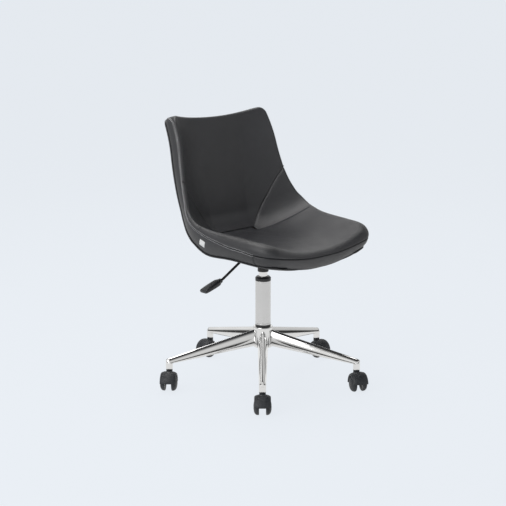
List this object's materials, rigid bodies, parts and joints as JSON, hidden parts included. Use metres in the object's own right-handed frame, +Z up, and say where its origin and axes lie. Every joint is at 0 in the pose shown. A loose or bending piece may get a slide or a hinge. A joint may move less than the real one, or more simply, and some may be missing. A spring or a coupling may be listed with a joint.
{
  "type": "office chair",
  "caption": "Armless office chair: upholstered bucket seat on a gas lift that turns and rises, with a chromed star base on hooded twin-wheel castors.",
  "frame": {"origin": "on the floor under the lift column's axis", "axes": "+Z up, the chair faces -Y, +X is the sitter's left"},
  "size_m": [0.658, 0.6621, 0.853],
  "materials": {
    "leatherette": "satin grained black leatherette over foam",
    "plywood": "moulded plywood",
    "chrome": "bright chrome plate",
    "steel": "bright steel",
    "black_steel": "black powder coat",
    "black_plastic": "moulded black plastic",
    "castor_nylon": "moulded black nylon",
    "rubber": "moulded rubber",
    "label_cloth": "woven white label, blank"
  },
  "bodies": {
    "base": {"base_hub": "chrome", "base_arm_1": "chrome", "base_arm_2": "chrome", "base_arm_3": "chrome", "base_arm_4": "chrome", "base_arm_5": "chrome", "column_tube": "chrome", "column_guide_bush": "black_plastic", "bearing_race_lower": "steel", "bearing_balls": "steel"},
    "lift_rod": {"piston_rod": "steel", "piston": "black_plastic", "bearing_race_upper": "steel", "rod_clip": "steel", "bump_stop": "rubber"},
    "seat": {"gas_cylinder": "chrome", "cylinder_seal": "black_plastic", "cone_socket": "black_steel", "mechanism_plate": "black_steel", "lever_pivot": "steel", "mounting_screws": "steel", "shell_inserts": "steel", "seat_shell": "plywood", "seat_pad": "leatherette", "back_pad": "leatherette", "wing_pad_left": "leatherette", "wing_pad_right": "leatherette", "side_border_left": "leatherette", "side_border_right": "leatherette", "front_border": "leatherette", "rear_cover": "leatherette", "side_tag": "label_cloth"},
    "release_pin": {"release_pin": "steel"},
    "lever": {"lever_rod": "black_steel", "lever_handle": "black_plastic"},
    "castor_1": {"castor_1_stem": "steel", "castor_1_hood": "castor_nylon", "castor_1_axle": "steel"},
    "castor_1_wheel_left": {"castor_1_wheel_left": "castor_nylon"},
    "castor_1_wheel_right": {"castor_1_wheel_right": "castor_nylon"},
    "castor_2": {"castor_2_stem": "steel", "castor_2_hood": "castor_nylon", "castor_2_axle": "steel"},
    "castor_2_wheel_left": {"castor_2_wheel_left": "castor_nylon"},
    "castor_2_wheel_right": {"castor_2_wheel_right": "castor_nylon"},
    "castor_3": {"castor_3_stem": "steel", "castor_3_hood": "castor_nylon", "castor_3_axle": "steel"},
    "castor_3_wheel_left": {"castor_3_wheel_left": "castor_nylon"},
    "castor_3_wheel_right": {"castor_3_wheel_right": "castor_nylon"},
    "castor_4": {"castor_4_stem": "steel", "castor_4_hood": "castor_nylon", "castor_4_axle": "steel"},
    "castor_4_wheel_left": {"castor_4_wheel_left": "castor_nylon"},
    "castor_4_wheel_right": {"castor_4_wheel_right": "castor_nylon"},
    "castor_5": {"castor_5_stem": "steel", "castor_5_hood": "castor_nylon", "castor_5_axle": "steel"},
    "castor_5_wheel_left": {"castor_5_wheel_left": "castor_nylon"},
    "castor_5_wheel_right": {"castor_5_wheel_right": "castor_nylon"}
  },
  "joints": [
    {"name": "seat_swivel", "type": "hinge", "parent": "base", "child": "lift_rod", "pos_m": [0, 0, 0.121], "axis": [0, 0, 1], "continuous": true},
    {"name": "height_slide", "type": "slide", "parent": "lift_rod", "child": "seat", "axis": [0, 0, 1], "range_m": [0, 0.1]},
    {"name": "lever_lift", "type": "hinge", "parent": "seat", "child": "lever", "pos_m": [-0.057, 0, 0.4093], "axis": [0, 1, 0], "range_deg": [0, 4.2], "stiffness_Nm_per_rad": 0.6},
    {"name": "pin_press", "type": "slide", "parent": "seat", "child": "release_pin", "axis": [0, 0, -1], "range_m": [0, 0.0045]},
    {"name": "castor_1_swivel", "type": "hinge", "parent": "base", "child": "castor_1", "pos_m": [-0.22258, -0.21721, 0.066], "axis": [0, 0, 1], "continuous": true},
    {"name": "castor_1_left_roll", "type": "hinge", "parent": "castor_1", "child": "castor_1_wheel_left", "pos_m": [-0.2346, -0.22923, 0.025], "axis": [0.7071, -0.7071, 0], "continuous": true},
    {"name": "castor_1_right_roll", "type": "hinge", "parent": "castor_1", "child": "castor_1_wheel_right", "pos_m": [-0.2346, -0.22923, 0.025], "axis": [0.7071, -0.7071, 0], "continuous": true},
    {"name": "castor_2_swivel", "type": "hinge", "parent": "base", "child": "castor_2", "pos_m": [0.1378, -0.27881, 0.066], "axis": [0, 0, 1], "continuous": true},
    {"name": "castor_2_left_roll", "type": "hinge", "parent": "castor_2", "child": "castor_2_wheel_left", "pos_m": [0.12929, -0.29353, 0.025], "axis": [0.866, -0.5, 0], "continuous": true},
    {"name": "castor_2_right_roll", "type": "hinge", "parent": "castor_2", "child": "castor_2_wheel_right", "pos_m": [0.12929, -0.29353, 0.025], "axis": [0.866, -0.5, 0], "continuous": true},
    {"name": "castor_3_swivel", "type": "hinge", "parent": "base", "child": "castor_3", "pos_m": [0.30774, 0.04489, 0.066], "axis": [0, 0, 1], "continuous": true},
    {"name": "castor_3_left_roll", "type": "hinge", "parent": "castor_3", "child": "castor_3_wheel_left", "pos_m": [0.30567, 0.02802, 0.025], "axis": [0.9925, -0.1219, 0], "continuous": true},
    {"name": "castor_3_right_roll", "type": "hinge", "parent": "castor_3", "child": "castor_3_wheel_right", "pos_m": [0.30567, 0.02802, 0.025], "axis": [0.9925, -0.1219, 0], "continuous": true},
    {"name": "castor_4_swivel", "type": "hinge", "parent": "base", "child": "castor_4", "pos_m": [0.0524, 0.30655, 0.066], "axis": [0, 0, 1], "continuous": true},
    {"name": "castor_4_left_roll", "type": "hinge", "parent": "castor_4", "child": "castor_4_wheel_left", "pos_m": [0.03541, 0.30596, 0.025], "axis": [0.0349, -0.9994, 0], "continuous": true},
    {"name": "castor_4_right_roll", "type": "hinge", "parent": "castor_4", "child": "castor_4_wheel_right", "pos_m": [0.03541, 0.30596, 0.025], "axis": [0.0349, -0.9994, 0], "continuous": true},
    {"name": "castor_5_swivel", "type": "hinge", "parent": "base", "child": "castor_5", "pos_m": [-0.27536, 0.14457, 0.066], "axis": [0, 0, 1], "continuous": true},
    {"name": "castor_5_left_roll", "type": "hinge", "parent": "castor_5", "child": "castor_5_wheel_left", "pos_m": [-0.28838, 0.13364, 0.025], "axis": [0.6428, -0.766, 0], "continuous": true},
    {"name": "castor_5_right_roll", "type": "hinge", "parent": "castor_5", "child": "castor_5_wheel_right", "pos_m": [-0.28838, 0.13364, 0.025], "axis": [0.6428, -0.766, 0], "continuous": true}
  ],
  "couplings": [
    {"joint": "pin_press", "follows": "lever_lift", "m_per_rad": 0.057}
  ]
}
